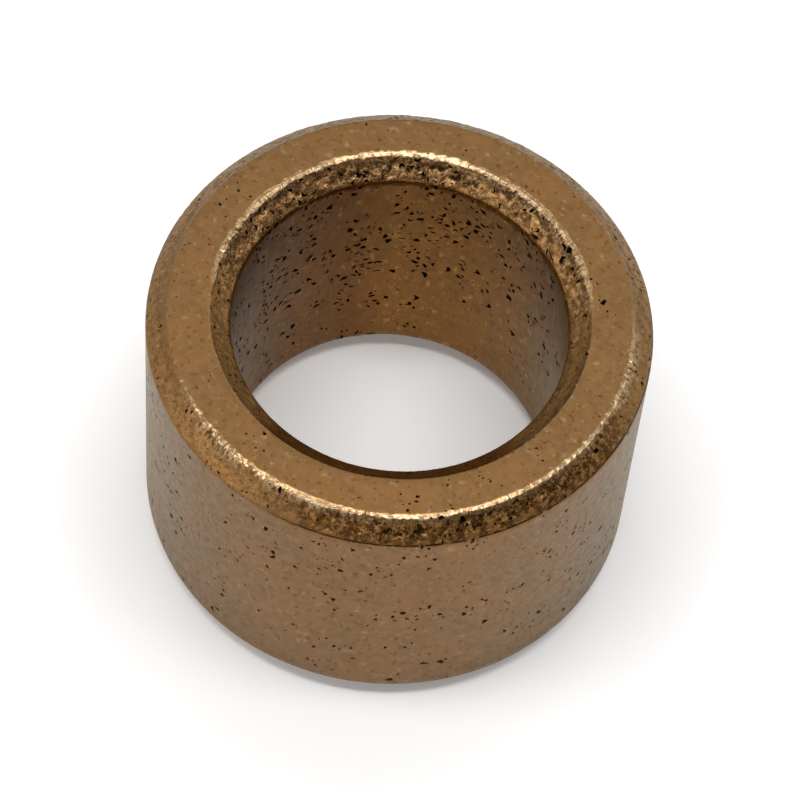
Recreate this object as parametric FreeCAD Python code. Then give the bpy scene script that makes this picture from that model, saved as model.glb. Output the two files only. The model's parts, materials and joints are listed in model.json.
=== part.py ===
import FreeCAD, Part
import os

# Plain sleeve bushing of sintered bronze, for a 12 mm shaft in an 18 mm housing bore.
#
# The bushing is one piece. Bronze powder is pressed in a die to a bevelled ring, sintered, sized
# and filled with oil. The shaft that turns in it and the housing that grips it are other objects.
#
# The origin is the centre of the lower end face, and +Z is the bore axis. Lengths are in
# millimetres.

# Driving dimensions
bore_diameter = 12.0
outside_diameter = 18.0
length = 12.0

# Every edge has the same 45 degree bevel, which leads the shaft in and the bushing into its housing.
chamfer = 0.75

# Dimensions worked out from the driving ones
bore_radius = bore_diameter / 2
outside_radius = outside_diameter / 2

AXIS_POINT = FreeCAD.Vector(0, 0, 0)
AXIS_DIRECTION = FreeCAD.Vector(0, 0, 1)
FULL_TURN = 360


def wall_section():
    """Cut face of one wall, in the XZ plane: a rectangle with its four corners bevelled off."""
    outline = [
        (bore_radius + chamfer, 0.0),
        (outside_radius - chamfer, 0.0),
        (outside_radius, chamfer),
        (outside_radius, length - chamfer),
        (outside_radius - chamfer, length),
        (bore_radius + chamfer, length),
        (bore_radius, length - chamfer),
        (bore_radius, chamfer),
    ]
    points = [FreeCAD.Vector(radius, 0, height) for radius, height in outline]
    edge_loop = Part.makePolygon(points + points[:1])
    return Part.Face(edge_loop)


def make_sleeve():
    """The whole ring: the wall's section turned once about the bore axis."""
    turned = wall_section().revolve(AXIS_POINT, AXIS_DIRECTION, FULL_TURN)
    return Part.Solid(turned.Shells[0])


def report(name, shape):
    """Print what a shop drawing would be checked against."""
    box = shape.BoundBox
    print(f"{name}: {box.XLength:.3f} x {box.YLength:.3f} x {box.ZLength:.3f} mm, "
          f"{shape.Volume:.1f} cubic mm, valid {shape.isValid()}")


os.makedirs("parts", exist_ok=True)

sleeve = make_sleeve()
sleeve.exportStep("parts/sleeve.step")
report("sleeve", sleeve)
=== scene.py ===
import json
import math
from collections import namedtuple

import bpy
import numpy as np
from mathutils import Matrix, Vector, kdtree, noise
from mathutils.geometry import delaunay_2d_cdt


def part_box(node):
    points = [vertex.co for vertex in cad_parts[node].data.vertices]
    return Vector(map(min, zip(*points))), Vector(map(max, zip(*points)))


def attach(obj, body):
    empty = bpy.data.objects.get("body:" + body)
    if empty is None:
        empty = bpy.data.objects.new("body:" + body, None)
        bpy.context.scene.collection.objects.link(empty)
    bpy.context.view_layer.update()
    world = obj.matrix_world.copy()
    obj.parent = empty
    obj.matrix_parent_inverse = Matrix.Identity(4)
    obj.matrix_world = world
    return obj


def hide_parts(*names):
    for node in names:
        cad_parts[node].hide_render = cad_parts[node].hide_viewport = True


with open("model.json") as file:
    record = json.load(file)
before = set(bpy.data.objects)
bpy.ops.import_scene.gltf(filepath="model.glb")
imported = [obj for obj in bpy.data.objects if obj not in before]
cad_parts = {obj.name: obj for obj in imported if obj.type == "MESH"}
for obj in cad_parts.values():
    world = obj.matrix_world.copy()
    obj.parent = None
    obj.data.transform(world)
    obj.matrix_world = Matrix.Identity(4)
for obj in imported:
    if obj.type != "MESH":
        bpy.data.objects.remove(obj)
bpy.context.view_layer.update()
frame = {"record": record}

# The looks of a sintered bronze sleeve bushing: one closed mesh that stands for the CAD sleeve.
# The mesh is the CAD section turned about Z, with worn ridges, granular bevels, fine grooves and
# open pores cut into it. It is laid out flat first, with the angle round the ring across and the
# distance along the section up, where a constrained triangulation joins plain points and pore rims.
# Lengths are in millimetres until the mesh is made; Blender objects are in metres.

MM = 0.001
FULL_TURN = 2 * math.pi
SAME_PLACE = 1e-9           # distances under this are none at all
rng = np.random.default_rng(841)

# ---------------------------------------------------------------- sizes, from the frame

low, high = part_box("sleeve")
length = (high.z - low.z) / MM
outside_radius = min(-low.x, high.x, -low.y, high.y) / MM
bore_dims = next(m["dims"] for m in frame["record"]["mounts"] if m["name"] == "bore")
bore_radius = bore_dims["r_mm"]
bevel = (length - bore_dims["length_mm"]) / 2
middle_radius = (outside_radius + bore_radius) / 2

# ---------------------------------------------------------------- the section's outline

RIDGE_ROUNDING = 0.05       # face to bevel
WALL_EDGE_ROUNDING = 0.05   # bevel to wall


class Outline:
    """The section's rounded outline, followed anticlockwise from the middle of the lower face.

    `at` gives the radius, height and outward normal at distances along it."""

    STEP = 0.01         # between points on a rounded corner

    def __init__(self):
        corners = [
            ("lower_rim_ridge", outside_radius - bevel, 0, RIDGE_ROUNDING),
            ("lower_rim_edge", outside_radius, bevel, WALL_EDGE_ROUNDING),
            ("upper_rim_edge", outside_radius, length - bevel, WALL_EDGE_ROUNDING),
            ("upper_rim_ridge", outside_radius - bevel, length, RIDGE_ROUNDING),
            ("upper_bore_ridge", bore_radius + bevel, length, RIDGE_ROUNDING),
            ("upper_bore_edge", bore_radius, length - bevel, WALL_EDGE_ROUNDING),
            ("lower_bore_edge", bore_radius, bevel, WALL_EDGE_ROUNDING),
            ("lower_bore_ridge", bore_radius + bevel, 0, RIDGE_ROUNDING),
        ]
        start = np.array([middle_radius, 0.0])
        points = [start]
        self.corner = {}
        places = [np.array(c[1:3], float) for c in corners]
        total = 0.0
        for i, (name, _, _, rounding) in enumerate(corners):
            here = places[i]
            before = places[i - 1] if i else start
            after = places[i + 1] if i + 1 < len(places) else start
            way_in = (here - before) / np.linalg.norm(here - before)
            way_out = (after - here) / np.linalg.norm(after - here)
            turn = math.acos(float(np.clip(way_in @ way_out, -1, 1)))
            setback = rounding * math.tan(turn / 2)
            arc_start = here - way_in * setback
            left = np.array([-way_in[1], way_in[0]])
            centre = arc_start + left * rounding
            total += np.linalg.norm(arc_start - points[-1])
            self.corner[name] = total + rounding * turn / 2
            steps = max(4, math.ceil(rounding * turn / self.STEP))
            for k in range(steps + 1):
                a = turn * k / steps
                points.append(centre + rounding * (way_in * math.sin(a) - left * math.cos(a)))
            total += rounding * turn
        points.append(start)
        points = np.array(points)
        runs = np.linalg.norm(np.diff(points, axis=0), axis=1)
        keep = np.concatenate([[True], runs > SAME_PLACE])
        points = points[keep]
        runs = np.linalg.norm(np.diff(points, axis=0), axis=1)
        self.distance = np.concatenate([[0], np.cumsum(runs)])
        self.points = points
        self.total = self.distance[-1]
        ways = np.diff(points, axis=0) / runs[:, None]
        self.heading_at = (self.distance[:-1] + self.distance[1:]) / 2
        self.heading = np.unwrap(np.arctan2(ways[:, 1], ways[:, 0]))

    def at(self, s):
        radius = np.interp(s, self.distance, self.points[:, 0])
        height = np.interp(s, self.distance, self.points[:, 1])
        heading = np.interp(s, self.heading_at, self.heading)
        return radius, height, np.sin(heading), -np.cos(heading)


outline = Outline()
edge = outline.corner


def radius_at(s):
    """The outline's radius at one distance along it."""
    return float(outline.at(np.array([s]))[0][0])


def on_ring(theta, s, depth=0.0):
    """Points in space at angle theta and outline distance s, sunk by depth below the outline."""
    radius, height, out_r, out_z = outline.at(s)
    radius = radius - out_r * depth
    return np.stack([radius * np.cos(theta), radius * np.sin(theta), height - out_z * depth], axis=-1)


# ---------------------------------------------------------------- regions of the surface

REGIONS = {
    "outer_wall": (edge["lower_rim_edge"], edge["upper_rim_edge"]),
    "upper_rim_bevel": (edge["upper_rim_edge"], edge["upper_rim_ridge"]),
    "upper_face": (edge["upper_rim_ridge"], edge["upper_bore_ridge"]),
    "upper_bore_bevel": (edge["upper_bore_ridge"], edge["upper_bore_edge"]),
    "bore_wall": (edge["upper_bore_edge"], edge["lower_bore_edge"]),
    "lower_bore_bevel": (edge["lower_bore_edge"], edge["lower_bore_ridge"]),
    "lower_rim_bevel": (edge["lower_rim_ridge"], edge["lower_rim_edge"]),
}
BEVELS = [name for name in REGIONS if name.endswith("bevel")]
WALL_EDGES = [name for name in edge if name.endswith("edge")]
RIDGES = [name for name in edge if name.endswith("ridge")]


def smooth_step(x):
    x = np.clip(x, 0, 1)
    return x * x * (3 - 2 * x)


def noise_at(points, grain, offset=0.0):
    """Smooth noise in about -1 to 1 whose bumps are `grain` mm across."""
    shift = Vector((offset, -offset, 2 * offset))
    return np.array([noise.noise(Vector(p) + shift) for p in (points / grain).tolist()])


def with_noises(base, points, layers):
    """base plus several noises, each given as (amount, grain, offset)."""
    for amount, grain, offset in layers:
        base = base + amount * noise_at(points, grain, offset)
    return base


def cells_at(points, grain):
    """Distance to the nearest of a set of scattered points about `grain` mm apart, about 0 to 1."""
    return np.array([noise.voronoi(Vector(p))[0][0] for p in (points / grain).tolist()])


# Wear is uneven round the ring. Places are (angle, half width) in degrees, counted from +X, and the
# photo's camera is at -90.
WORN_AND_HIGHLIGHTED_SIDE = {"rim": (-75, 75), "bore": (91, 81)}        # the ridges are burnished, and their lands painted with a highlight here
ROUGH_SIDE = {"rim": (-66, 44), "bore": (91, 81)}       # the bevels are granular
# scuffed places, where dragged strokes get painted highlights and their gaps painted shade
SCUFFED_AND_HIGHLIGHTED = {"rim": [(-118, 27), (-18, 18)], "bore": [(43, 30), (142, 26)]}
LEAST_SCUFF = 0.3                                       # on the whole worn side
FAINT_GROOVE = (-150, 38)                               # the groove round the rim is nearly gone
# the bore's darkened sides; on the near side of its bevels this is painted shade
DARKENED_BORE_SIDES = {"bore_wall": (150, 48), "bore_bevel": (-90, 42)}
FADE = math.radians(18)


def rim_or_bore(name):
    return "rim" if "rim" in name else "bore"


def side(theta, centre, half_width):
    """1 within half_width degrees of centre and 0 beyond it, with faded ends."""
    away = np.abs((theta - math.radians(centre) + math.pi) % FULL_TURN - math.pi)
    return smooth_step((math.radians(half_width) - away) / FADE + 0.5)


def wear(theta, name):
    """How worn and how scuffed the ring is at theta, near a named ridge or wall edge."""
    worn = side(theta, *WORN_AND_HIGHLIGHTED_SIDE[rim_or_bore(name)])
    scuffed = np.max([side(theta, *place) for place in SCUFFED_AND_HIGHLIGHTED[rim_or_bore(name)]], axis=0)
    return worn, np.maximum(LEAST_SCUFF * worn, scuffed)


LAND_TILT = math.radians(17)    # the worn land on each ridge leans this far from the face
LAND_ON_FACE = 0.115            # how far it reaches from the ridge
LAND_ON_BEVEL = 0.085
LEAST_REACH = 0.02
MOST_REACH = 0.21
LAND_ANYWHERE = 0.35            # its reach is made up of shares: on any ridge,
LAND_BY_WEAR = 0.65             # where the ridge is worn
LAND_BY_SCUFF = 0.35            # and where it is scuffed
LAND_SWAY = [(0.5, 2.6, 3.7)]
RAGGED_ON_FACE = [(0.40, 0.55, 1.3), (0.60, 0.17, 4.1)]
RAGGED_ON_BEVEL = [(0.60, 0.60, 8.2), (1.7, 0.15, 6.6)]


def land_reach(theta, name):
    """How far a ridge's worn land reaches onto the face and onto the bevel, raggedly, at theta."""
    points = on_ring(theta, np.full_like(theta, edge[name]))
    worn, scuffed = wear(theta, name)
    share = LAND_ANYWHERE + LAND_BY_WEAR * worn + LAND_BY_SCUFF * scuffed
    share = with_noises(share, points, LAND_SWAY)
    on_face = LAND_ON_FACE * with_noises(share, points, RAGGED_ON_FACE)
    on_bevel = LAND_ON_BEVEL * with_noises(share, points, RAGGED_ON_BEVEL)
    return np.clip(on_face, LEAST_REACH, MOST_REACH), np.clip(on_bevel, LEAST_REACH, MOST_REACH)


def bevel_way(name):
    """1 if a ridge's bevel comes after it along the outline, and -1 if it comes before."""
    return 1 if any(abs(REGIONS[b][0] - edge[name]) < SAME_PLACE for b in BEVELS) else -1


def ridge_run(s, name):
    """Distance along the outline from a ridge, with the bevel's side positive."""
    return (s - edge[name]) * bevel_way(name)


BEVEL_REACH = 1.4       # a ridge governs the surface this far along the outline
LAND_SLACK = 0.004      # so that the land's mask covers its border points
LAND_FADE = 0.06        # the grains start this softly beyond the land
LEAST_SHINE = 0.12      # of the land's pale colour and painted highlight, where the ridge isn't worn
CALM = 0.4              # how rough the bevels are on their smooth side
# how strongly the bevels' smooth sides are lightened: painted light
SMOOTH_SIDE_LIGHT = {"rim": 0.35, "bore": 1.0}
EDGE_FADE = 0.03        # the grains stop this softly at the wall's edge
GRAINS_AT_EDGE = 0.65   # and are this strong beside it
EDGE_EASE = 0.5


def near_ridges(theta, s):
    """The masks that the ridges and bevels govern, and the depth of the worn land."""
    grainy, land, scuff, smooth, land_depth = (np.zeros_like(s) for _ in range(5))
    run = np.full_like(s, -BEVEL_REACH)
    for name in RIDGES:
        d = ridge_run(s, name)
        near = np.abs(d) < BEVEL_REACH
        d = d[near]
        on_face, on_bevel = land_reach(theta[near], name)
        corner_depth = on_face * math.tan(LAND_TILT)
        face_side = np.clip(on_face + d, 0, None) * math.tan(LAND_TILT)
        bevel_side = corner_depth * np.clip(1 - d / on_bevel, 0, 1)
        land_depth[near] = np.where(d < 0, face_side, bevel_side)
        worn, scuffed = wear(theta[near], name)
        on_land = (d > -on_face - LAND_SLACK) * (d < on_bevel + LAND_SLACK)
        land[near] = on_land * (LEAST_SHINE + (1 - LEAST_SHINE) * worn)
        run[near] = d
        scuff[near] = scuffed
        rough = side(theta[near], *ROUGH_SIDE[rim_or_bore(name)])
        beyond_land = smooth_step((d - on_bevel) / LAND_FADE)
        grainy[near] = beyond_land * (CALM + (1 - CALM) * rough)
        smooth[near] = beyond_land * (1 - rough) * SMOOTH_SIDE_LIGHT[rim_or_bore(name)]
    in_bevel = np.zeros(len(s), bool)
    for name in BEVELS:
        begin, end = REGIONS[name]
        wall = end if begin in (edge[r] for r in RIDGES) else begin
        on_bevel = (s >= begin) & (s <= end)
        in_bevel |= on_bevel
        from_wall = np.abs(wall - s[on_bevel])
        ease = GRAINS_AT_EDGE + (1 - GRAINS_AT_EDGE) * smooth_step(from_wall / EDGE_EASE)
        grainy[on_bevel] *= smooth_step(from_wall / EDGE_FADE) * ease
        run[~on_bevel & (np.abs(s - wall) < bevel)] = -BEVEL_REACH
    return grainy * in_bevel, land, run, scuff, smooth * in_bevel, land_depth


WALL_DARKENING = 0.60
DARKENED_HALF = 0.7 * bevel     # half the length of a bevel's darkened strip, almost the whole slope


def bore_darkening_at(theta, s):
    """Where the bore is darkened: on one side of its wall, and with painted shade on the near side of
    its bevels.
    """
    on_wall = (s > edge["upper_bore_edge"]) * (s < edge["lower_bore_edge"])
    on_bevel = np.zeros(len(s), bool)
    for end in ("upper", "lower"):
        middle = (edge[f"{end}_bore_ridge"] + edge[f"{end}_bore_edge"]) / 2
        on_bevel |= np.abs(s - middle) < DARKENED_HALF
    darkened_wall = side(theta, *DARKENED_BORE_SIDES["bore_wall"]) * on_wall
    return np.maximum(WALL_DARKENING * darkened_wall, side(theta, *DARKENED_BORE_SIDES["bore_bevel"]) * on_bevel)


GROOVE_DEPTH = 0.045    # the fine groove left by the die where bevel meets wall
GROOVE_WIDTH = 0.032
GROOVE_REACH = 0.3
RIM_GROOVE = 0.95       # its strength, as a share of that depth
RIM_GROOVE_LOSS = 0.75  # less this where it is faint
BORE_GROOVE = 0.25
BORE_GROOVE_GAIN = 0.50     # more this where the bore is worn


def groove_at(theta, s):
    """Distance from the nearest groove, and how strong that groove is."""
    away = np.full_like(s, GROOVE_REACH)
    strength = np.zeros_like(s)
    for name in WALL_EDGES:
        near = np.abs(s - edge[name]) < GROOVE_REACH
        away[near] = np.abs(s[near] - edge[name])
        if rim_or_bore(name) == "rim":
            strength[near] = RIM_GROOVE - RIM_GROOVE_LOSS * side(theta[near], *FAINT_GROOVE)
        else:
            strength[near] = BORE_GROOVE + BORE_GROOVE_GAIN * wear(theta[near], name)[0]
    return away, strength


GRAIN_RELIEF = 0.090    # height of the bevels' grains
HOLLOW_LEVEL = 0.40     # how much of a bevel lies between grains, before the noises
HOLLOW_NOISES = [(0.60, 0.30, 0.0), (0.55, 0.14, 5.0)]
CELL_GRAIN = 0.2
CELL_SHARE = 0.45
CELL_MIDDLE = 0.45
FACE_RIPPLE = 0.004
RIPPLE_GRAIN = 1.4
RIPPLE_OFFSET = 7.7


def relief(theta, s):
    """Depth below the outline, and the masks that the material reads, at plain surface points."""
    points = on_ring(theta, s)
    grainy, land, run, scuff, smooth, land_depth = near_ridges(theta, s)
    hollow = with_noises(HOLLOW_LEVEL, points, HOLLOW_NOISES)
    hollow = np.clip(hollow + CELL_SHARE * (cells_at(points, CELL_GRAIN) - CELL_MIDDLE), 0, 1)
    away, groove = groove_at(theta, s)
    line = np.exp(-(away / GROOVE_WIDTH) ** 2) * groove
    ripple = 0.5 + 0.5 * noise_at(points, RIPPLE_GRAIN, RIPPLE_OFFSET)
    depth = land_depth + grainy * hollow * GRAIN_RELIEF + line * GROOVE_DEPTH
    depth += FACE_RIPPLE * ripple * (1 - grainy)
    masks = {"bevel": grainy, "hollow": hollow * grainy, "land": land, "run": run, "scuff": scuff,
             "ledge": away, "line": groove, "smooth": smooth, "oil": bore_darkening_at(theta, s)}
    return depth, masks


# ---------------------------------------------------------------- plain points

ROW_PITCH = math.sqrt(3) / 2        # rows of even triangles lie this share of their spacing apart


def ring_angles(radius, spacing, row):
    """Even angles round the ring, about spacing mm apart, with odd rows half a step along."""
    around = round(FULL_TURN * radius / spacing)
    return (np.arange(around) + 0.25 + 0.5 * (row % 2)) / around * FULL_TURN


def ring_rows(begin, end, spacing, jitter=0.0):
    """Staggered rows of points between two outline distances, as (theta, s), spacing mm apart."""
    count = max(1, round((end - begin) / (spacing * ROW_PITCH)))
    rows = []
    for i in range(count):
        s = begin + (end - begin) * (i + 0.5) / count
        radius = radius_at(s)
        theta = ring_angles(radius, spacing, i)
        rows.append(np.stack([theta, np.full_like(theta, s)], axis=1))
        if jitter:
            move = rng.uniform(-jitter, jitter, (len(theta), 2)) * spacing
            rows[-1] += move / np.array([radius, 1.0])
    return np.concatenate(rows)


# Rows along the land's borders: shares of its reach on the face and on the bevel, and a distance.
LAND_ROWS = [(-1, 0, -0.02), (-1, 0, 0.01), (-0.5, 0, 0), (0, 0, 0),
             (0, 0.5, 0), (0, 1, -0.008), (0, 1, 0.022)]


def ridge_rows(name, spacing):
    """Rows that follow the ragged borders of the worn land on a ridge."""
    rows = []
    for i, (face_share, bevel_share, further) in enumerate(LAND_ROWS):
        theta = ring_angles(radius_at(edge[name]), spacing, i)
        on_face, on_bevel = land_reach(theta, name)
        d = face_share * on_face + bevel_share * on_bevel + further
        rows.append(np.stack([theta, edge[name] + bevel_way(name) * d], axis=1))
    return np.concatenate(rows)


WALL_SPACING = 0.42
FACE_SPACING = 0.27
GRAIN_SPACING = 0.105
LAND_SPACING = 0.06
LOWER_LAND_SPACING = 1.6 * LAND_SPACING     # the lower end isn't seen from above
GROOVE_SPACING = 0.12
GROOVE_ROWS = (-0.075, -0.032, 0.0, 0.032, 0.075)
FACE_JITTER = 0.15      # of the spacing
GRAIN_JITTER = 0.22
EDGE_BAND = 0.10        # half width of the strip that holds the groove's rows
RIDGE_BAND = 0.245       # half width of the strip that holds the worn land's rows


def plain_points():
    parts = []
    for name in ("outer_wall", "bore_wall"):
        begin, end = REGIONS[name]
        parts.append(ring_rows(begin + EDGE_BAND, end - EDGE_BAND, WALL_SPACING))
    begin, end = REGIONS["upper_face"]
    parts.append(ring_rows(begin + RIDGE_BAND, end - RIDGE_BAND, FACE_SPACING, FACE_JITTER))
    margin = FACE_SPACING / 2
    for begin, end in ((margin, edge["lower_rim_ridge"] - RIDGE_BAND),
                       (edge["lower_bore_ridge"] + RIDGE_BAND, outline.total - margin)):
        parts.append(ring_rows(begin, end, FACE_SPACING, FACE_JITTER))
    for name in BEVELS:
        begin, end = REGIONS[name]
        ridge_first = begin in (edge[r] for r in RIDGES)
        begin += RIDGE_BAND if ridge_first else EDGE_BAND
        end -= EDGE_BAND if ridge_first else RIDGE_BAND
        parts.append(ring_rows(begin, end, GRAIN_SPACING, GRAIN_JITTER))
    for name in RIDGES:
        spacing = LAND_SPACING if name.startswith("upper") else LOWER_LAND_SPACING
        parts.append(ridge_rows(name, spacing))
    for name in WALL_EDGES:
        for i, offset in enumerate(GROOVE_ROWS):
            theta = ring_angles(radius_at(edge[name]), GROOVE_SPACING, i)
            parts.append(np.stack([theta, np.full_like(theta, edge[name] + offset)], axis=1))
    return np.concatenate(parts)


# ---------------------------------------------------------------- pores

PoreField = namedtuple("PoreField", "begin end clusters_per_mm2 more half_length slenderest upright")
PORE_FIELDS = [
    PoreField(*REGIONS["outer_wall"], 1.75, 0.8, 0.080, 0.32, True),
    PoreField(*REGIONS["bore_wall"], 3.50, 2.3, 0.104, 0.24, False),
    PoreField(*REGIONS["upper_rim_bevel"], 3.0, 1.2, 0.062, 0.32, False),
    PoreField(*REGIONS["upper_bore_bevel"], 5.5, 1.6, 0.074, 0.32, False),
    PoreField(*REGIONS["upper_face"], 1.1, 1.0, 0.044, 0.55, False),
    PoreField(*REGIONS["lower_rim_bevel"], 1.8, 1.2, 0.050, 0.40, False),
    PoreField(*REGIONS["lower_bore_bevel"], 2.2, 1.2, 0.058, 0.40, False),
    PoreField(0.0, edge["lower_rim_ridge"], 1.1, 1.0, 0.042, 0.55, False),
    PoreField(edge["lower_bore_ridge"], outline.total, 1.1, 1.0, 0.042, 0.55, False),
]       # `more` is how many pores follow the first one of a cluster, on average
SIZE_SPREAD = 0.40          # of the logarithm of a pore's size
SMALLEST_PORE = 0.026       # half lengths
LARGEST_PORE = 0.155
LEAST_WIDTH = 0.7 * SMALLEST_PORE
STOUTEST = 0.74             # width to length
DEPTH_TO_WIDTH = 0.9
CORNER_SPACING = 0.011      # a longer pore has more corners, one for this much of its half length
FEWEST_CORNERS = 5
MOST_CORNERS = 11
CORNER_JITTER = 0.25        # of the angle between corners
RAGGEDNESS = 0.24
RAGGED_IN = -0.4
RAGGED_OUT = 0.45
MOST_BEND = 0.8
PORE_GAP = 0.055            # between the corners of neighbouring rims
SEAM_CLEARANCE = 0.05
LEAST_SLICE = 1e-5          # every side of a rim must face the pore's middle, or its floor folds


def with_middles(rim):
    """A rim's corners and the middles of its sides."""
    return np.concatenate([rim, (rim + np.roll(rim, -1, axis=0)) / 2])


class Pores:
    """Open pores, kept clear of each other. Each is a ragged, bent oval rim with a floor below it."""

    def __init__(self):
        self.theta, self.s, self.reach, self.depth = [], [], [], []
        self.rims = []      # corners as (theta, s)

    def clear(self, theta, s, reach, radius, rim):
        if s < reach + SEAM_CLEARANCE or s > outline.total - reach - SEAM_CLEARANCE:
            return False
        if min(theta, FULL_TURN - theta) * radius < reach + SEAM_CLEARANCE:
            return False
        mm = np.array([radius, 1.0])
        spokes = (rim - np.array([theta, s])) * mm
        following = np.roll(spokes, -1, axis=0)
        if (spokes[:, 0] * following[:, 1] - spokes[:, 1] * following[:, 0]).min() < LEAST_SLICE:
            return False
        away = np.hypot((np.array(self.theta) - theta) * radius, np.array(self.s) - s)
        for i in np.flatnonzero(away < np.array(self.reach) + reach + PORE_GAP):
            apart = (with_middles(rim)[:, None, :] - with_middles(self.rims[i])[None, :, :]) * mm
            if away[i] < PORE_GAP or np.hypot(apart[..., 0], apart[..., 1]).min() < PORE_GAP:
                return False
        return True

    def add(self, theta, s, half_length, half_width, turn):
        radius = radius_at(s)
        count = int(np.clip(round(half_length / CORNER_SPACING), FEWEST_CORNERS, MOST_CORNERS))
        jitter = rng.uniform(-CORNER_JITTER, CORNER_JITTER, count)
        angles = (np.arange(count) + jitter) / count * FULL_TURN
        ragged = 1 + rng.normal(0, RAGGEDNESS, count).clip(RAGGED_IN, RAGGED_OUT)
        x = half_length * np.cos(angles) * ragged
        y = half_width * np.sin(angles) * ragged
        y = y + rng.uniform(-MOST_BEND, MOST_BEND) * x * x / half_length
        across = x * math.cos(turn) - y * math.sin(turn)
        along = x * math.sin(turn) + y * math.cos(turn)
        reach = float(np.hypot(across, along).max())
        rim = np.stack([theta + across / radius, s + along], axis=1)
        if not self.clear(theta, s, reach, radius, rim):
            return
        self.theta.append(theta)
        self.s.append(s)
        self.reach.append(reach)
        self.rims.append(rim)
        self.depth.append(DEPTH_TO_WIDTH * 2 * half_width)


PATCH_GRAIN = 1.7                   # pores crowd in patches about this many mm across
PATCH_LEVEL = 0.62
PATCH_CONTRAST = 1.2
OPEN_SIDE = math.radians(128)       # the bore has most of its pores on this side
OPEN_SIDE_LEVEL = 0.80
OPEN_SIDE_GAIN = 0.60
BORE_FLOOR_LEVEL = 0.1              # and more of them the higher up
BORE_HEIGHT_GAIN = 1.25
BORE_MARGIN = 0.1


def crowding(theta, s):
    """How likely a cluster of pores is at a place, from 0 to about 1."""
    place = on_ring(np.array([theta]), np.array([s]))[0]
    share = PATCH_LEVEL + PATCH_CONTRAST * noise.noise(Vector(place / PATCH_GRAIN))
    if np.hypot(place[0], place[1]) < bore_radius + BORE_MARGIN:
        share *= BORE_FLOOR_LEVEL + BORE_HEIGHT_GAIN * place[2] / length
        share *= OPEN_SIDE_LEVEL + OPEN_SIDE_GAIN * math.cos(theta - OPEN_SIDE)
    return share


FIELD_MARGIN = 0.04         # a pore's middle stays this far inside its field
UPRIGHT_SPREAD = 0.35       # radians
PORE_TURN_SPREAD = 0.45     # how much the pores of a cluster differ in direction
WANDER = 1.6                # and how much the cluster's path does
STEP_TO_SIZE = 1.2          # the next pore of a cluster is this far on, in half lengths,
STEP_MORE = (0.06, 0.25)    # and somewhere in this range further


def scatter_pores():
    pores = Pores()
    for field in PORE_FIELDS:
        radius = radius_at((field.begin + field.end) / 2)
        area = FULL_TURN * radius * (field.end - field.begin)
        for _ in range(round(field.clusters_per_mm2 * area)):
            theta = rng.uniform(0, FULL_TURN)
            s = rng.uniform(field.begin, field.end)
            if field.upright:
                heading = rng.normal(math.pi / 2, UPRIGHT_SPREAD)
            else:
                heading = rng.uniform(0, math.pi)
            followers = rng.poisson(field.more)
            if rng.random() > crowding(theta, s):
                continue
            for _ in range(1 + followers):
                half_length = field.half_length * math.exp(rng.normal(0, SIZE_SPREAD))
                half_length = min(max(half_length, SMALLEST_PORE), LARGEST_PORE)
                slender = rng.uniform(field.slenderest, STOUTEST)
                if field.begin + FIELD_MARGIN < s < field.end - FIELD_MARGIN:
                    half_width = max(half_length * slender, LEAST_WIDTH)
                    turn = heading + rng.normal(0, PORE_TURN_SPREAD)
                    pores.add(theta % FULL_TURN, s, half_length, half_width, turn)
                step = half_length * STEP_TO_SIZE + rng.uniform(*STEP_MORE)
                way = heading + rng.normal(0, WANDER)
                theta += step * math.cos(way) / radius
                s += step * math.sin(way)
    return pores


# ---------------------------------------------------------------- the mesh

MIDDLE_RING = 0.66      # size of the ring of points between a pore's rim and its floor's centre
MIDDLE_DEPTH = 0.75
MIDDLE_UNEVEN = (0.8, 1.1)
SMALL_PORE = 0.05       # pores under this half length have no middle ring
PORE_CLEARING = 0.03    # no plain point is nearer than this to a pore
PORE_RIM_SHADE = 0.35   # the oil and painted shade in a pore, from this at the rim to 1 inside
SEAM_SPACING = 0.24
SEAM_MARGIN = 0.03      # plain points stay this far from the layout's side edges
SEAM_STOPS = (-0.20, -0.10, -0.05, 0.0, 0.04, 0.10, 0.18)    # beside a ridge, its bevel positive
LAYOUT_EPSILON = 1e-7
UV_MARGIN = 0.002


def flat_layout(pores):
    """Every point of the flat layout: (theta, s), pore depth, kind, and the pores' rim edges.

    kind is 0 for a plain point, 1 for a rim point and 2 for a point inside a pore."""
    plain = plain_points()
    from_seam = np.minimum(plain[:, 0], FULL_TURN - plain[:, 0]) * middle_radius
    plain = plain[from_seam > SEAM_MARGIN]
    tree = kdtree.KDTree(len(plain))
    for i, (theta, s) in enumerate(plain.tolist()):
        tree.insert((theta * middle_radius, s, 0), i)
    tree.balance()
    covered = np.zeros(len(plain), bool)
    points, depths, kinds, rims = [], [], [], []
    total = 0
    for theta, s, reach, rim, depth in zip(pores.theta, pores.s, pores.reach, pores.rims, pores.depth):
        clearing = reach * max(1.0, middle_radius / radius_at(s)) + PORE_CLEARING
        for _, index, _ in tree.find_range((theta * middle_radius, s, 0), clearing):
            covered[index] = True
        centre = np.array([theta, s])
        rings = [rim]
        ring_depths = [np.zeros(len(rim))]
        if reach > SMALL_PORE:
            rings.append((rim - centre) * MIDDLE_RING + centre)
            ring_depths.append(depth * MIDDLE_DEPTH * rng.uniform(*MIDDLE_UNEVEN, len(rim)))
        rings.append(centre[None, :])
        ring_depths.append(np.array([depth]))
        count = sum(len(r) for r in rings)
        points.append(np.concatenate(rings))
        depths.append(np.concatenate(ring_depths))
        kinds.append(np.array([1] * len(rim) + [2] * (count - len(rim))))
        rims += [(total + i, total + (i + 1) % len(rim)) for i in range(len(rim))]
        total += count
    plain = plain[~covered]
    points.append(plain)
    depths.append(np.zeros(len(plain)))
    kinds.append(np.zeros(len(plain), int))
    return np.concatenate(points), np.concatenate(depths), np.concatenate(kinds), rims


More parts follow.
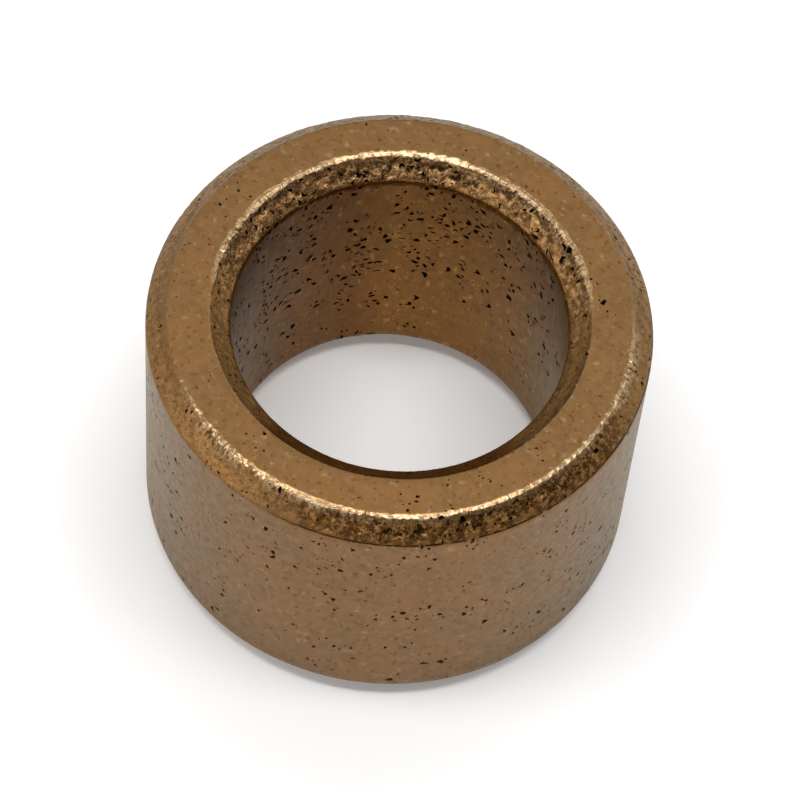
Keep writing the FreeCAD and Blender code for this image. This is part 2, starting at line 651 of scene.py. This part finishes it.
def seam_points(start_index):
    """The frame round the flat layout, with the pairs of points that are one point on the ring."""
    across = round(FULL_TURN * middle_radius / SEAM_SPACING)
    thetas = np.arange(across + 1) / across * FULL_TURN
    fixed = [0.0, outline.total]
    fixed += [edge[name] + offset for name in WALL_EDGES for offset in GROOVE_ROWS]
    fixed += [edge[name] + bevel_way(name) * d for name in RIDGES for d in SEAM_STOPS]
    fixed = sorted(fixed)
    stops = [0.0]
    for target in fixed[1:]:
        middle = (stops[-1] + target) / 2
        on_bevel = any(begin < middle < end for begin, end in (REGIONS[b] for b in BEVELS))
        spacing = GRAIN_SPACING if on_bevel else SEAM_SPACING
        count = max(1, math.ceil((target - stops[-1]) / spacing))
        stops += list(np.linspace(stops[-1], target, count + 1)[1:])
    stops = np.array(stops)
    points, twins = [], {}
    for theta in thetas:
        points += [(theta, 0.0), (theta, outline.total)]
    for s in stops[1:-1]:
        points += [(0.0, s), (FULL_TURN, s)]
    for i, (theta, s) in enumerate(points):
        if i % 2:
            twins[start_index + i] = start_index + i - 1
    twins[start_index + 2 * across] = start_index
    twins[start_index + 2 * across + 1] = start_index
    return np.array(points), twins


def build_sleeve():
    pores = scatter_pores()
    points, pore_depth, kinds, rims = flat_layout(pores)
    seam, twins = seam_points(len(points))
    points = np.concatenate([points, seam])
    pore_depth = np.concatenate([pore_depth, np.zeros(len(seam))])
    kinds = np.concatenate([kinds, np.zeros(len(seam), int)])
    flat = [Vector((t * middle_radius, s)) for t, s in points.tolist()]
    laid, _, faces, _, _, _ = delaunay_2d_cdt(flat, rims, [], 0, LAYOUT_EPSILON, False)
    if len(laid) != len(flat):
        raise RuntimeError(f"the layout has crossing rims: {len(laid) - len(flat)} extra points")
    faces = np.array([f[:] for f in faces])

    depth, masks = relief(points[:, 0], points[:, 1])
    place = on_ring(points[:, 0], points[:, 1], depth + pore_depth) * MM

    twin = np.arange(len(points))
    for copy, first in twins.items():
        twin[copy] = first
    used, renumber = np.unique(twin, return_inverse=True)
    joined = renumber[faces]
    mesh = bpy.data.meshes.new("sleeve_skin")
    mesh.from_pydata(place[used].tolist(), [], joined.tolist())
    if mesh.validate():
        raise RuntimeError("the sleeve's mesh had faces that Blender refused")
    mesh.polygons.foreach_set("use_smooth", np.ones(len(faces), bool))

    for name, values in masks.items():
        layer = mesh.attributes.new(name, "FLOAT", "POINT")
        layer.data.foreach_set("value", values[used].astype(np.float32))

    corner_kinds = kinds[faces]
    in_pore = (corner_kinds == 2).any(axis=1)
    pore = np.where(in_pore[:, None], np.where(corner_kinds == 2, 1.0, PORE_RIM_SHADE), 0.0)
    layer = mesh.attributes.new("pore", "FLOAT", "CORNER")
    layer.data.foreach_set("value", pore.ravel().astype(np.float32))

    flat_uv = np.stack([points[:, 0] / FULL_TURN, points[:, 1] / outline.total], axis=1)
    uv = mesh.uv_layers.new(name="OFBake")
    flat_uv = UV_MARGIN + (1 - 2 * UV_MARGIN) * flat_uv
    uv.data.foreach_set("uv", flat_uv[faces].ravel().astype(np.float32))

    # pore rims stay sharp
    ends = np.zeros(len(mesh.edges) * 2, np.int32)
    mesh.edges.foreach_get("vertices", ends)
    ends = np.sort(ends.reshape(-1, 2), axis=1).astype(np.int64)
    rim_ends = np.sort(renumber[np.array(rims)], axis=1).astype(np.int64)
    size = len(used)
    sharp = np.isin(ends[:, 0] * size + ends[:, 1], rim_ends[:, 0] * size + rim_ends[:, 1])
    layer = mesh.attributes.new("sharp_edge", "BOOLEAN", "EDGE")
    layer.data.foreach_set("value", sharp)
    mesh.update()
    print(f"sleeve: {len(pores.s)} pores, {len(used)} points, {len(faces)} triangles")

    sleeve = bpy.data.objects.new("bronze_sleeve", mesh)
    bpy.context.scene.collection.objects.link(sleeve)
    return sleeve


# ---------------------------------------------------------------- materials

class Nodes:
    """Short forms for building a node tree."""

    def __init__(self, material):
        material.use_nodes = True
        self.tree = material.node_tree
        self.tree.nodes.clear()

    def add(self, kind, inputs=None, **settings):
        node = self.tree.nodes.new(kind)
        for key, value in settings.items():
            setattr(node, key, value)
        for key, value in (inputs or {}).items():
            self.put(node, key, value)
        return node

    def put(self, node, key, value):
        if isinstance(value, bpy.types.NodeSocket):
            self.tree.links.new(value, node.inputs[key])
        else:
            node.inputs[key].default_value = value

    def math(self, operation, a, b):
        return self.add("ShaderNodeMath", {0: a, 1: b}, operation=operation).outputs[0]

    def highest(self, *values):
        result = values[0]
        for value in values[1:]:
            result = self.math("MAXIMUM", result, value)
        return result

    def product(self, *values):
        result = values[0]
        for value in values[1:]:
            result = self.math("MULTIPLY", result, value)
        return result

    def scaled(self, vector, factors):
        """A vector times a number, or times another vector."""
        if isinstance(factors, tuple):
            node = self.add("ShaderNodeVectorMath", {0: vector, 1: factors}, operation="MULTIPLY")
        else:
            node = self.add("ShaderNodeVectorMath", {0: vector, "Scale": factors}, operation="SCALE")
        return node.outputs[0]

    def blend(self, factor, a, b):
        """Between two plain numbers."""
        return self.add("ShaderNodeMix", {"Factor": factor, "A": a, "B": b}).outputs[0]

    def mix(self, factor, a, b, blend_type="MIX"):
        """Between two colours."""
        node = self.add("ShaderNodeMix", data_type="RGBA", blend_type=blend_type)
        self.put(node, "Factor", factor)
        self.put(node, "A", a)
        self.put(node, "B", b)
        return next(o for o in node.outputs if o.type == "RGBA")

    def mask(self, name):
        return self.add("ShaderNodeAttribute", attribute_name=name).outputs["Fac"]

    def noise(self, vector, per_mm, detail=3.0, roughness=0.55):
        """Cloudy noise, about 0.3 to 0.7, with per_mm lumps to the mm."""
        return self.add("ShaderNodeTexNoise", {"Vector": vector, "Scale": per_mm, "Detail": detail,
                                               "Roughness": roughness}).outputs["Fac"]

    def span(self, value, low, high, to_low=0.0, to_high=1.0):
        """to_low below `low`, to_high above `high`, and smoothly between them."""
        return self.add("ShaderNodeMapRange", {"Value": value, "From Min": low, "From Max": high,
                                               "To Min": to_low, "To Max": to_high},
                        interpolation_type="SMOOTHSTEP").outputs["Result"]


BRONZE_DARK = (0.214, 0.114, 0.041, 1)
BRONZE = (0.246, 0.135, 0.054, 1)
BRONZE_LIGHT = (0.310, 0.182, 0.080, 1)
BRONZE_RED = (0.268, 0.134, 0.048, 1)
# pale burnished metal, also the painted highlight on worn lands and scuffed strokes
BURNISH_AND_HIGHLIGHT = (0.500, 0.345, 0.195, 1)
RIM_DARK = (0.140, 0.060, 0.016, 1)
RIM_LIGHT = (0.420, 0.208, 0.068, 1)
BORE_DARK = (0.330, 0.172, 0.062, 1)
BORE_LIGHT = (0.640, 0.370, 0.155, 1)
WALL_TINT = (0.95, 0.90, 0.91, 1)
BORE_TINT = (0.96, 0.76, 0.35, 1)      # painted warm light, bounced between the bore's walls
BORE_DARKENING_TINT = (0.54, 0.40, 0.24, 1)       # and darker where the bore darkening mask is, with painted shade on the near bevels
# painted light on the bevels' smooth sides
SMOOTH_BEVEL_PAINTED_LIGHT = (0.430, 0.235, 0.085, 1)
STAIN = (0.130, 0.052, 0.012, 1)
# oil and painted shade in pores, grooves, crevices and furrows, and the metal's dark specks
OIL_AND_SHADE_BLACK = (0.012, 0.006, 0.003, 1)
GLANCE_TINT = (0.85, 0.96, 0.95, 1)    # the surface mirrors a little less at glancing angles


def bronze_colour(n, mm, on_bevel, in_bore, inner, on_wall):
    """The metal's colour: soft clouds, faint stains and paler patches, with painted light on the
    bevels' smooth sides, painted warm bounce light in the bore, and a darker bore with painted shade
    on its near bevels.
    """
    mottle = n.span(n.noise(mm, 2.4, 4.0, 0.6), 0.36, 0.62)
    colour = n.mix(mottle, BRONZE_DARK, BRONZE)
    red_clouds = n.span(n.noise(mm, 0.55, 2.0), 0.42, 0.62, 0, 0.6)
    colour = n.mix(red_clouds, colour, BRONZE_RED)
    pale_grains = n.span(n.noise(mm, 7.0, 3.0, 0.6), 0.54, 0.76, 0, 0.6)
    colour = n.mix(pale_grains, colour, BRONZE_LIGHT)
    grain = n.span(n.noise(mm, 4.2, 3.0, 0.6), 0.40, 0.60)
    bevel_colour = n.mix(inner, n.mix(grain, RIM_DARK, RIM_LIGHT), n.mix(grain, BORE_DARK, BORE_LIGHT))
    colour = n.mix(on_bevel, colour, bevel_colour)
    # painted light: the bevels' smooth sides are lightened
    colour = n.mix(n.product(n.mask("smooth"), 0.85), colour, SMOOTH_BEVEL_PAINTED_LIGHT)
    burnished = n.span(n.noise(mm, 3.4, 4.0, 0.6), 0.58, 0.72, 0, 0.38)
    colour = n.mix(burnished, colour, BURNISH_AND_HIGHLIGHT)
    colour = n.mix(on_wall, colour, WALL_TINT, blend_type="MULTIPLY")
    tall = n.scaled(mm, (1, 1, 0.5))
    smudges = n.span(n.noise(tall, 5.2, 2.0, 0.5), 0.60, 0.69)
    colour = n.mix(n.product(smudges, n.span(on_wall, 0, 1, 0.5, 0.60)), colour, STAIN)
    flecks = n.product(n.span(n.noise(tall, 3.6, 3.0, 0.6), 0.60, 0.70, 0, 0.6), in_bore)
    colour = n.mix(flecks, colour, BURNISH_AND_HIGHLIGHT)
    # painted warm bounce light in the bore
    colour = n.mix(in_bore, colour, BORE_TINT, blend_type="MULTIPLY")
    # darker on one side of the bore wall, and painted shade on the near side of its bevels
    return n.mix(n.mask("oil"), colour, BORE_DARKENING_TINT, blend_type="MULTIPLY")


def dots(n, mm, per_mm, share, inner, outer):
    """Round dots, about per_mm cells to the mm, with `share` of the cells holding one."""
    cells = n.add("ShaderNodeTexVoronoi", {"Vector": mm, "Scale": per_mm}, feature="F1")
    pick = n.add("ShaderNodeSeparateColor", {0: cells.outputs["Color"]}).outputs[0]
    chosen = n.math("LESS_THAN", pick, share)
    return n.product(chosen, n.span(cells.outputs["Distance"], inner, outer, 1.0, 0.0))


STROKES_PER_MM = 8.5        # short strokes across each ridge, where grains were dragged
STROKE_STRETCH = 3.4


def strokes_across_ridges(n, mm):
    """Fine ridges and furrows that run straight across the bevels, the same all round the ring."""
    parts = n.add("ShaderNodeSeparateXYZ", {0: mm}).outputs
    flat = n.add("ShaderNodeCombineXYZ", {0: parts[0], 1: parts[1]}).outputs[0]
    around = n.add("ShaderNodeVectorMath", {0: flat}, operation="NORMALIZE").outputs[0]
    around = n.scaled(around, middle_radius * STROKES_PER_MM)
    along = n.add("ShaderNodeCombineXYZ", {2: n.product(parts[2], STROKE_STRETCH)}).outputs[0]
    place = n.add("ShaderNodeVectorMath", {0: around, 1: along}, operation="ADD").outputs[0]
    return n.noise(place, 1.0, 2.0, 0.6)


def dragged_metal(n, mm, run, scuff):
    """Where scuffed metal was dragged along beside a ridge; its strokes carry painted highlights and
    its gaps painted shade.
    """
    beside_ridge = n.product(n.span(run, -0.16, -0.04), n.span(run, 0.20, 0.48, 1.0, 0.0))
    return n.product(beside_ridge, n.span(n.noise(mm, 0.9, 3.0), 0.32, 0.50), scuff)


BEND = 0.34             # mm, so that the cracks between grains aren't straight
GRAINS_PER_MM = 4.5
PITS_PER_MM = 4.6
CRACK_DARK = 0.9
CRUMB_DARK = 0.95


def bevel_crevice_shade(n, mm, bevel_mask, hollow, run, scuff):
    """Dark places on the bevels, painted shade: hollows, short cracks between grains, pits, and below
    a ridge.
    """
    bend = n.add("ShaderNodeTexNoise", {"Vector": mm, "Scale": 5.0, "Detail": 2.0}).outputs["Color"]
    bent = n.add("ShaderNodeVectorMath", {0: bend, 1: (BEND, BEND, BEND), 2: mm},
                 operation="MULTIPLY_ADD").outputs[0]
    grains = n.add("ShaderNodeTexVoronoi", {"Vector": bent, "Scale": GRAINS_PER_MM},
                   feature="DISTANCE_TO_EDGE")
    cracks = n.span(grains.outputs["Distance"], 0.04, 0.20, 1.0, 0.0)
    cracks = n.product(cracks, n.span(n.noise(mm, 2.4, 2.0), 0.46, 0.62), CRACK_DARK)
    pits = dots(n, bent, PITS_PER_MM, 0.30, 0.16, 0.38)
    crumbs = n.product(n.span(n.noise(mm, 6.5, 3.0, 0.65), 0.38, 0.45, 1.0, 0.0), CRUMB_DARK)
    hollows = n.span(hollow, 0.48, 0.78, 0, 0.97)
    # a painted shadow band just below the ridge's land
    below_ridge = n.product(n.span(run, 0.08, 0.16), n.span(run, 0.34, 0.56, 1.0, 0.0),
                            n.span(n.noise(mm, 5.0, 3.0, 0.65), 0.38, 0.56, 0.95, 0.15),
                            n.math("SUBTRACT", 1.0, n.product(scuff, 0.8)))
    crevices = n.highest(cracks, pits, crumbs, hollows, below_ridge)
    return n.product(crevices, bevel_mask, n.span(scuff, 0, 1, 1.0, 0.65))


def burnish_and_painted_highlights(n, mm, land, scuff, dragged, strokes):
    """The ridges' worn lands, with chips out of them, and the bright strokes beside them: painted
    highlights in a pale burnished colour.
    """
    shine = n.span(n.noise(mm, 9.0, 4.0, 0.7), 0.40, 0.50, 0.15, 1.0)
    chips = n.span(n.noise(mm, 3.8, 3.0, 0.6), 0.44, 0.52)
    whole = n.highest(chips, n.span(scuff, 0.3, 1.0, 1.0, 0.25))
    bright = n.product(dragged, n.span(strokes, 0.46, 0.56),
                       n.span(n.noise(mm, 11.0, 3.0, 0.65), 0.38, 0.50, 0.25, 1.0))
    return n.highest(n.product(land, shine, whole), bright)


def surface_height(n, mm, bevel_mask, run, dragged, strokes, crevices, specks):
    """The finest relief, in mm, for the bump."""
    crumbled = n.highest(bevel_mask, n.product(dragged, 0.8))
    fine = n.product(n.noise(mm, 20.0, 3.0, 0.6), n.span(crumbled, 0, 1, 0.0012, 0.010))
    coarse = n.product(n.noise(mm, 7.0, 3.0, 0.6), n.span(crumbled, 0, 1, 0.004, 0.040))
    furrows = n.product(dragged, strokes, n.span(run, 0.0, 0.1, 0.02, 0.06))
    height = n.math("ADD", n.math("ADD", fine, coarse), furrows)
    height = n.math("SUBTRACT", height, n.product(crevices, 0.02))
    return n.math("SUBTRACT", height, n.product(specks, 0.01))


BLUR = (0.03, 0.12)         # mm from a wall over which its own colour fades in
MIDDLE_BLUR = 0.1
GROOVE_DARK = 0.92
GAP_DARK = 0.75
SPECK_DARK = 0.6
SPECKS_PER_MM = 2.8
SPECK_SHARE = 0.28
BURNISHED_ROUGHNESS = 0.33
OILY_ROUGHNESS = 0.75


def sintered_bronze():
    material = bpy.data.materials.new("sintered_bronze_oiled")
    n = Nodes(material)
    mm = n.scaled(n.add("ShaderNodeTexCoord").outputs["Object"], 1 / MM)
    bevel_mask, hollow, land, pore = n.mask("bevel"), n.mask("hollow"), n.mask("land"), n.mask("pore")
    run, scuff = n.mask("run"), n.mask("scuff")
    from_axis = n.add("ShaderNodeVectorMath", {0: n.scaled(mm, (1, 1, 0))}, operation="LENGTH")
    from_axis = from_axis.outputs["Value"]
    in_bore = n.span(from_axis, bore_radius + BLUR[0], bore_radius + BLUR[1], 1.0, 0.0)
    on_wall = n.span(from_axis, outside_radius - BLUR[1], outside_radius - BLUR[0])
    inner = n.span(from_axis, middle_radius - MIDDLE_BLUR, middle_radius + MIDDLE_BLUR, 1.0, 0.0)

    strokes = strokes_across_ridges(n, mm)
    dragged = dragged_metal(n, mm, run, scuff)
    crevices = bevel_crevice_shade(n, mm, bevel_mask, hollow, run, scuff)
    burnished = burnish_and_painted_highlights(n, mm, land, scuff, dragged, strokes)

    # painted shade in the fine groove where bevel meets wall, partly oil
    groove = n.product(n.span(n.mask("ledge"), 0.015, 0.055, 1.0, 0.0), n.mask("line"),
                       n.span(n.noise(mm, 1.3), 0.34, 0.50, 0.45, 1.0), GROOVE_DARK)
    # painted shade in the gaps between the dragged strokes
    gaps = n.product(dragged, n.span(strokes, 0.34, 0.44, 1.0, 0.0),
                     n.span(run, -0.03, 0.06, 0.3, 1.0), GAP_DARK)
    specks = n.product(dots(n, mm, SPECKS_PER_MM, SPECK_SHARE, 0.03, 0.22), SPECK_DARK)
    # a pore's darkness is oil and painted shade; in the bore and on the bevels it is dark right up to
    # its rim, and elsewhere it fades there
    pore_dark = n.blend(n.highest(in_bore, bevel_mask), pore, n.span(pore, 0.0, 0.4))
    dark = n.highest(n.highest(groove, pore_dark), n.highest(crevices, gaps), specks)

    colour = bronze_colour(n, mm, bevel_mask, in_bore, inner, on_wall)
    # painted highlight: the worn lands and scuffed strokes take the pale burnished colour
    colour = n.mix(burnished, colour, BURNISH_AND_HIGHLIGHT)
    # painted shade, partly oil, in pores, grooves, crevices and furrows, and the metal's own dark
    # specks
    colour = n.mix(dark, colour, OIL_AND_SHADE_BLACK)
    roughness = n.span(n.noise(mm, 3.0, 4.0, 0.6), 0.3, 0.7, 0.36, 0.48)
    roughness = n.blend(burnished, roughness, BURNISHED_ROUGHNESS)
    roughness = n.blend(dark, roughness, OILY_ROUGHNESS)

    height = surface_height(n, mm, bevel_mask, run, dragged, strokes, crevices, specks)
    bump = n.add("ShaderNodeBump", {"Height": height, "Strength": 1.0, "Distance": MM})
    shader = n.add("ShaderNodeBsdfPrincipled", {"Base Color": colour, "Roughness": roughness,
                                                "Normal": bump.outputs[0], "Metallic": 1.0,
                                                "Specular Tint": GLANCE_TINT})
    n.add("ShaderNodeOutputMaterial", {"Surface": shader.outputs[0]})
    return material


PAPER_WHITE = (0.92, 0.92, 0.92, 1)
PAPER_ROUGHNESS = 0.8
PAPER_GLOW = 0.12       # the paper lies on a light table turned low


def pale_paper():
    material = bpy.data.materials.new("pale_paper")
    n = Nodes(material)
    shader = n.add("ShaderNodeBsdfPrincipled", {"Base Color": PAPER_WHITE,
                                                "Roughness": PAPER_ROUGHNESS,
                                                "Emission Color": (1, 1, 1, 1),
                                                "Emission Strength": PAPER_GLOW})
    n.add("ShaderNodeOutputMaterial", {"Surface": shader.outputs[0]})
    return material


# ---------------------------------------------------------------- floor, lights and camera

# the photo's view: the lens is in mm, the distances in metres
VIEW_ELEVATION = math.radians(59.1)
VIEW_DISTANCE = 143.6 * MM
VIEW_ROLL = math.radians(5.77)
LENS = 177.0
SENSOR_WIDTH = 36
NEAREST_SEEN = 0.005
MIDDLE = Vector((0, 0, length / 2 * MM))
AIM = MIDDLE + Vector((0.27 * MM, 0, 0))


def add_object(name, data):
    added = bpy.data.objects.new(name, data)
    bpy.context.scene.collection.objects.link(added)
    return added


FLOOR_REACH = 1.5           # metres


def make_floor():
    mesh = bpy.data.meshes.new("floor")
    corners = [(-1, -1, 0), (1, -1, 0), (1, 1, 0), (-1, 1, 0)]
    mesh.from_pydata([Vector(corner) * FLOOR_REACH for corner in corners], [], [(0, 1, 2, 3)])
    floor = add_object("floor", mesh)
    mesh.materials.append(pale_paper())


BACKDROP_RADIUS = 0.60      # metres, inside the reach of every view's camera
BACKDROP_GREY = (0.85, 0.85, 0.85, 1)
DOME_STEPS = 48             # round it
DOME_ROWS = 24              # from the top to the bottom


def dome_mesh():
    """A whole sphere, of which the floor hides the lower half."""
    points = [Vector((0, 0, 1))]
    for row in range(1, DOME_ROWS):
        tilt = math.pi * row / DOME_ROWS
        for step in range(DOME_STEPS):
            turn = FULL_TURN * step / DOME_STEPS
            flat = math.sin(tilt)
            points.append(Vector((flat * math.cos(turn), flat * math.sin(turn), math.cos(tilt))))
    bottom = len(points)
    points.append(Vector((0, 0, -1)))
    faces = []
    for step in range(DOME_STEPS):
        beside = (step + 1) % DOME_STEPS
        for row in range(DOME_ROWS - 2):
            ring = 1 + row * DOME_STEPS
            below = ring + DOME_STEPS
            faces.append((ring + step, below + step, below + beside, ring + beside))
        last = bottom - DOME_STEPS
        faces.append((0, 1 + step, 1 + beside))
        faces.append((bottom, last + beside, last + step))
    mesh = bpy.data.meshes.new("backdrop")
    mesh.from_pydata([point * BACKDROP_RADIUS for point in points], [], faces)
    return mesh


def make_backdrop():
    """A pale dome far behind everything. Low views see it, and it lights and mirrors nothing."""
    mesh = dome_mesh()
    backdrop = add_object("backdrop", mesh)
    backdrop.visible_diffuse = False
    backdrop.visible_glossy = False
    backdrop.visible_transmission = False
    backdrop.visible_shadow = False
    material = bpy.data.materials.new("pale_backdrop")
    n = Nodes(material)
    glow = n.add("ShaderNodeEmission", {"Color": BACKDROP_GREY})
    n.add("ShaderNodeOutputMaterial", {"Surface": glow.outputs[0]})
    mesh.materials.append(material)


# name, azimuth, elevation, distance, width, height, power: degrees, metres and watts. Azimuth 0 is
# on the camera's side and 90 on its right. The horizon in front and to the right is left dark.
SOFT_BOXES = [
    ("overhead_strip", 0, 88, 0.6, 0.56, 0.13, 2.4),
    ("front_top", 0, 52, 0.6, 0.25, 0.20, 0.34),
    ("back_top", 180, 60, 0.7, 0.50, 0.50, 0.59),
    ("left_front", -62, 22, 0.7, 0.55, 0.28, 1.05),
    ("left", -105, 27, 0.7, 0.60, 0.40, 0.62),
    ("left_back", -150, 30, 0.7, 0.40, 0.40, 0.60),
    ("right", 115, 27, 0.7, 0.60, 0.40, 0.95),
    ("right_back", 155, 30, 0.7, 0.40, 0.40, 0.60),
]


def soft_box(name, azimuth, elevation, distance, width, height, power):
    """A rectangular soft light that faces the bushing."""
    light = bpy.data.lights.new(name, "AREA")
    light.shape = "RECTANGLE"
    light.size = width
    light.size_y = height
    light.energy = power
    lamp = add_object(name, light)
    a, e = math.radians(azimuth), math.radians(elevation)
    way = Vector((math.sin(a) * math.cos(e), -math.cos(a) * math.cos(e), math.sin(e)))
    lamp.location = way * distance
    lamp.rotation_euler = lamp.location.to_track_quat("Z", "Y").to_euler()


WORLD_STRENGTH = 0.07       # an even, very faint white from all round


def light_the_stage():
    world = bpy.data.worlds.new("studio")
    bpy.context.scene.world = world
    world.use_nodes = True
    background = world.node_tree.nodes["Background"]
    background.inputs["Color"].default_value = (1, 1, 1, 1)
    background.inputs["Strength"].default_value = WORLD_STRENGTH
    for box in SOFT_BOXES:
        soft_box(*box)
    bpy.context.scene.view_settings.view_transform = "Standard"


def make_camera():
    data = bpy.data.cameras.new("camera")
    data.lens = LENS
    data.sensor_width = SENSOR_WIDTH
    data.clip_start = NEAREST_SEEN
    camera = add_object("camera", data)
    back = Vector((0, -math.cos(VIEW_ELEVATION), math.sin(VIEW_ELEVATION)))
    camera.location = MIDDLE + back * VIEW_DISTANCE
    facing = (AIM - camera.location).to_track_quat("-Z", "Y").to_matrix()
    camera.rotation_euler = (facing @ Matrix.Rotation(VIEW_ROLL, 3, "Z")).to_euler()
    bpy.context.scene.camera = camera


sleeve = build_sleeve()
sleeve.data.materials.append(sintered_bronze())
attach(sleeve, "root")
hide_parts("sleeve")

make_floor()
make_backdrop()
light_the_stage()
make_camera()
